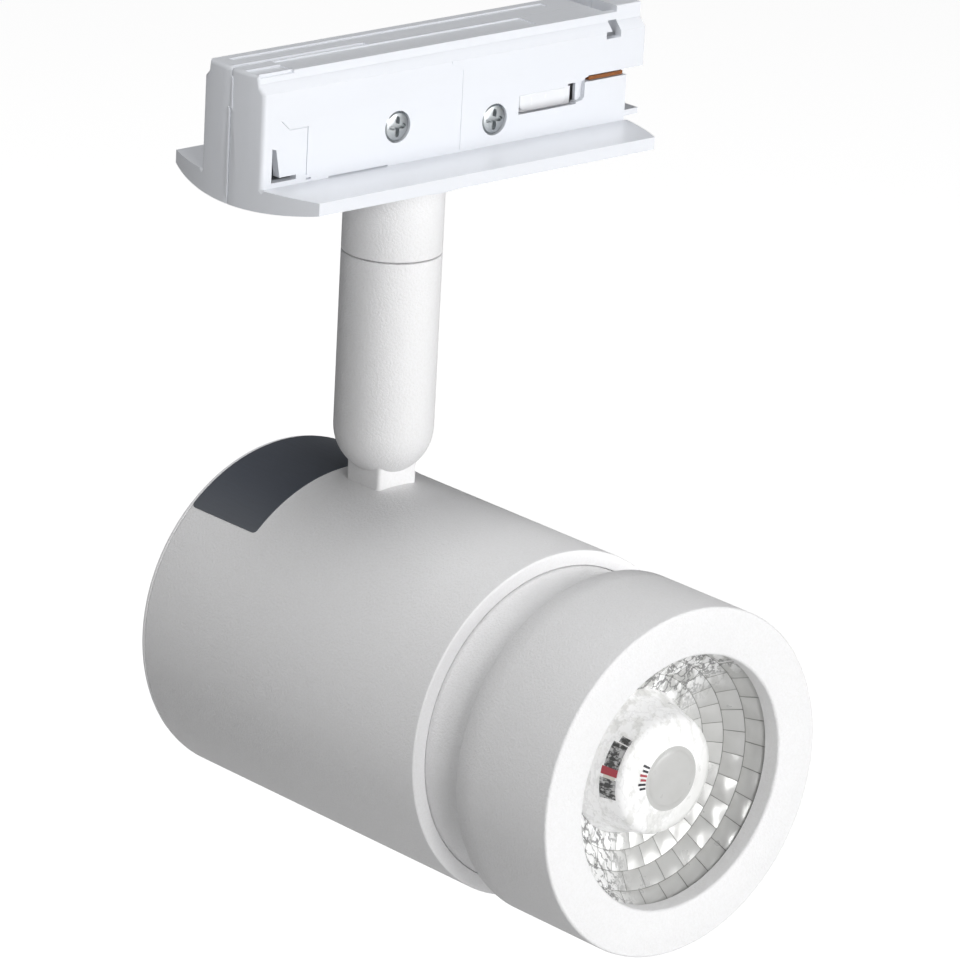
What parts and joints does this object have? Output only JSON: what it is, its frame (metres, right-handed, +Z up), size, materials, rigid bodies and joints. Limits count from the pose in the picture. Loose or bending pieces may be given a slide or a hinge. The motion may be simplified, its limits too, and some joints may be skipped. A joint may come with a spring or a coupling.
{
  "type": "track spotlight",
  "caption": "Round LED spotlight on a swivelling, tilting stem with a latching adapter for lighting track.",
  "frame": {"origin": "on the stem's axis in the plane of the track's mouth, which is the top face of the adapter's flange", "axes": "+Z up into the track, +X along the track towards the adapter's release tongue, light leaves along -Y when level"},
  "size_m": [0.08, 0.0963, 0.13],
  "materials": {
    "adapter_plastic": "semi-gloss white moulded plastic",
    "white_powder": "matt white powder coat",
    "zinc": "zinc-plated steel",
    "copper": "bare copper strip",
    "lead_brown": "wire insulation",
    "lead_red": "wire insulation",
    "aluminium": "plain machined aluminium",
    "nylon": "natural nylon",
    "inner_white": "white heat-proof plastic",
    "circuit_green": "solder resist",
    "ferrite": "ferrite core with yellow tape",
    "capacitor": "shrink sleeve",
    "terminal_green": "moulded terminal",
    "pad_grey": "thermal pad",
    "phosphor": "phosphor",
    "clear_lens": "clear optical acrylic",
    "label_silver": "bare silver foil sticker",
    "gasket": "silicone"
  },
  "bodies": {
    "adapter": {"front_shell": "adapter_plastic", "rear_shell": "adapter_plastic", "shell_screws": "zinc", "contact_carrier": "inner_white", "live_contact": "copper", "neutral_contact": "copper", "supply_leads": "lead_brown", "pawl_pins": "zinc", "release_spring": "zinc", "nipple": "zinc", "nipple_nut": "zinc", "collar": "white_powder", "pan_stop_pin": "zinc", "slip_washer": "nylon", "wave_washer": "zinc", "swivel_nut": "zinc"},
    "release": {"release_slider": "adapter_plastic"},
    "front_latch": {"front_pawl": "adapter_plastic"},
    "rear_latch": {"rear_pawl": "adapter_plastic"},
    "stem": {"stem_tube": "white_powder", "pivot_screw": "zinc"},
    "head": {"knuckle": "white_powder", "knuckle_screws": "zinc", "housing_tube": "white_powder", "rear_cap": "white_powder", "rear_cap_screws": "zinc", "heat_sink": "aluminium", "ring_pins": "zinc", "driver_cradle": "inner_white", "driver_board": "circuit_green", "driver_transformer": "ferrite", "driver_capacitors": "capacitor", "terminal_block": "terminal_green", "head_leads": "lead_brown", "led_leads": "lead_red", "thermal_pad": "pad_grey", "led_board": "aluminium", "led_emitter": "phosphor", "led_holder": "inner_white", "holder_screws": "zinc", "lens": "clear_lens", "rating_label": "label_silver"},
    "ring": {"front_ring": "white_powder", "lens_gasket": "gasket"}
  },
  "joints": [
    {"name": "stem_pan", "type": "hinge", "parent": "adapter", "child": "stem", "pos_m": [0, 0, -0.0165], "axis": [0, 0, 1], "range_deg": [-170, 170]},
    {"name": "head_tilt", "type": "hinge", "parent": "stem", "child": "head", "pos_m": [0, 0, -0.0453], "axis": [1, 0, 0], "range_deg": [0, 90]},
    {"name": "front_ring_turn", "type": "hinge", "parent": "head", "child": "ring", "pos_m": [0, -0.05, -0.08273], "axis": [0, -1, 0], "range_deg": [0, 25]},
    {"name": "release_slide", "type": "slide", "parent": "adapter", "child": "release", "axis": [1, 0, 0], "range_m": [0, 0.003], "deforming": ["release_spring"]},
    {"name": "front_latch_swing", "type": "hinge", "parent": "adapter", "child": "front_latch", "pos_m": [0.0204, -0.00505, 0.005], "axis": [0, 0, 1], "range_deg": [0, 9]},
    {"name": "rear_latch_swing", "type": "hinge", "parent": "adapter", "child": "rear_latch", "pos_m": [0.0204, 0.00505, 0.005], "axis": [0, 0, -1], "range_deg": [0, 9]}
  ],
  "couplings": [
    {"joint": "front_latch_swing", "follows": "release_slide", "rad_per_m": 52.36},
    {"joint": "rear_latch_swing", "follows": "release_slide", "rad_per_m": 52.36}
  ]
}
